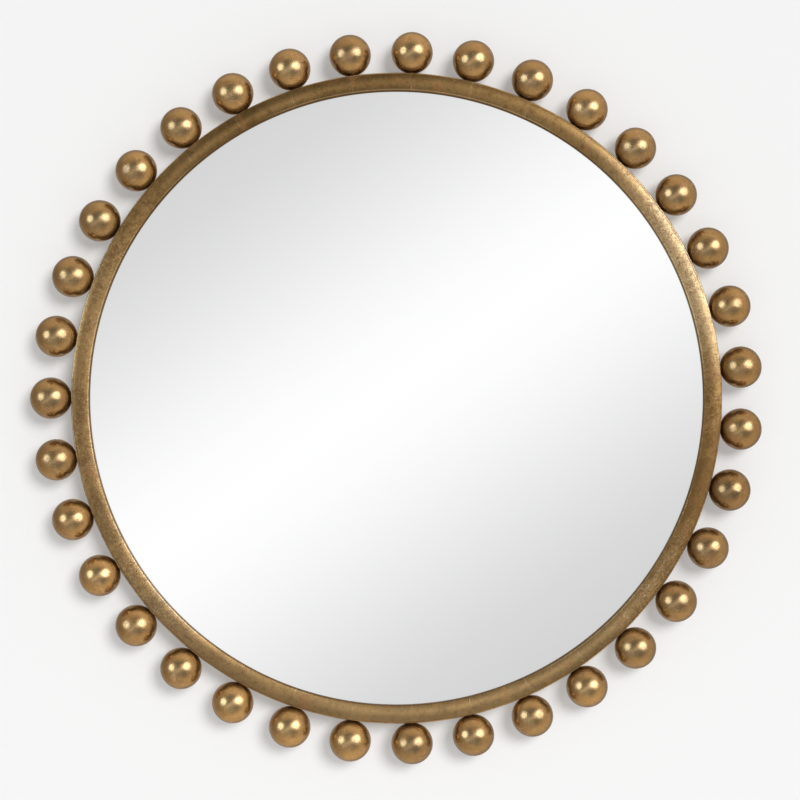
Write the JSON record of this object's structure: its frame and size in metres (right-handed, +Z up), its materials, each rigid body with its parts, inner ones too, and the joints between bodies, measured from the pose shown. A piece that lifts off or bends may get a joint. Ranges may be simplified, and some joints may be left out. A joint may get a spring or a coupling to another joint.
{
  "type": "girandole mirror",
  "caption": "Round wall mirror: flat glass in a crowned gold-leaf metal ring with a row of hollow balls on its rim, hung by two swinging loops.",
  "frame": {"origin": "the mirror's centre on the wall plane, which the rear faces of the bumpers touch", "axes": "+Z up as the mirror hangs, +Y into the wall, +X to the viewer's right; the glass faces -Y"},
  "size_m": [1.1159, 0.0647, 1.117],
  "materials": {
    "gold_leaf": "antique gold leaf over red-brown bole on steel",
    "mirror": "silvered float glass",
    "board": "sealed fibreboard",
    "tape": "black foam glazing tape",
    "rubber": "moulded neoprene",
    "ring_steel": "dark brown primer on steel",
    "zinc_steel": "zinc plated",
    "felt": "dense felt"
  },
  "bodies": {
    "mirror": {"frame_ring": "gold_leaf", "ball_01": "gold_leaf", "ball_02": "gold_leaf", "ball_03": "gold_leaf", "ball_04": "gold_leaf", "ball_05": "gold_leaf", "ball_06": "gold_leaf", "ball_07": "gold_leaf", "ball_08": "gold_leaf", "ball_09": "gold_leaf", "ball_10": "gold_leaf", "ball_11": "gold_leaf", "ball_12": "gold_leaf", "ball_13": "gold_leaf", "ball_14": "gold_leaf", "ball_15": "gold_leaf", "ball_16": "gold_leaf", "ball_17": "gold_leaf", "ball_18": "gold_leaf", "ball_19": "gold_leaf", "ball_20": "gold_leaf", "ball_21": "gold_leaf", "ball_22": "gold_leaf", "ball_23": "gold_leaf", "ball_24": "gold_leaf", "ball_25": "gold_leaf", "ball_26": "gold_leaf", "ball_27": "gold_leaf", "ball_28": "gold_leaf", "ball_29": "gold_leaf", "ball_30": "gold_leaf", "ball_31": "gold_leaf", "ball_32": "gold_leaf", "ball_33": "gold_leaf", "ball_34": "gold_leaf", "ball_35": "gold_leaf", "glazing_tape": "tape", "mirror_glass": "mirror", "backing_board": "board", "setting_blocks": "rubber", "retainer_tab_1": "ring_steel", "retainer_tab_2": "ring_steel", "retainer_tab_3": "ring_steel", "retainer_tab_4": "ring_steel", "retainer_tab_5": "ring_steel", "retainer_tab_6": "ring_steel", "retainer_tab_7": "ring_steel", "retainer_tab_8": "ring_steel", "retainer_screws": "zinc_steel", "hanger_bracket_left": "ring_steel", "hanger_bracket_right": "ring_steel", "hanger_strap_left": "zinc_steel", "hanger_strap_right": "zinc_steel", "hanger_rivets_left": "zinc_steel", "hanger_rivets_right": "zinc_steel", "wall_bumpers": "felt"},
    "loop_left": {"hanger_loop_left": "zinc_steel"},
    "loop_right": {"hanger_loop_right": "zinc_steel"}
  },
  "joints": [
    {"name": "loop_left_swing", "type": "hinge", "parent": "mirror", "child": "loop_left", "pos_m": [-0.305, -0.0084, 0.33019], "axis": [-1, 0, 0], "range_deg": [-35, 175]},
    {"name": "loop_right_swing", "type": "hinge", "parent": "mirror", "child": "loop_right", "pos_m": [0.305, -0.0084, 0.33019], "axis": [-1, 0, 0], "range_deg": [-35, 175]}
  ]
}
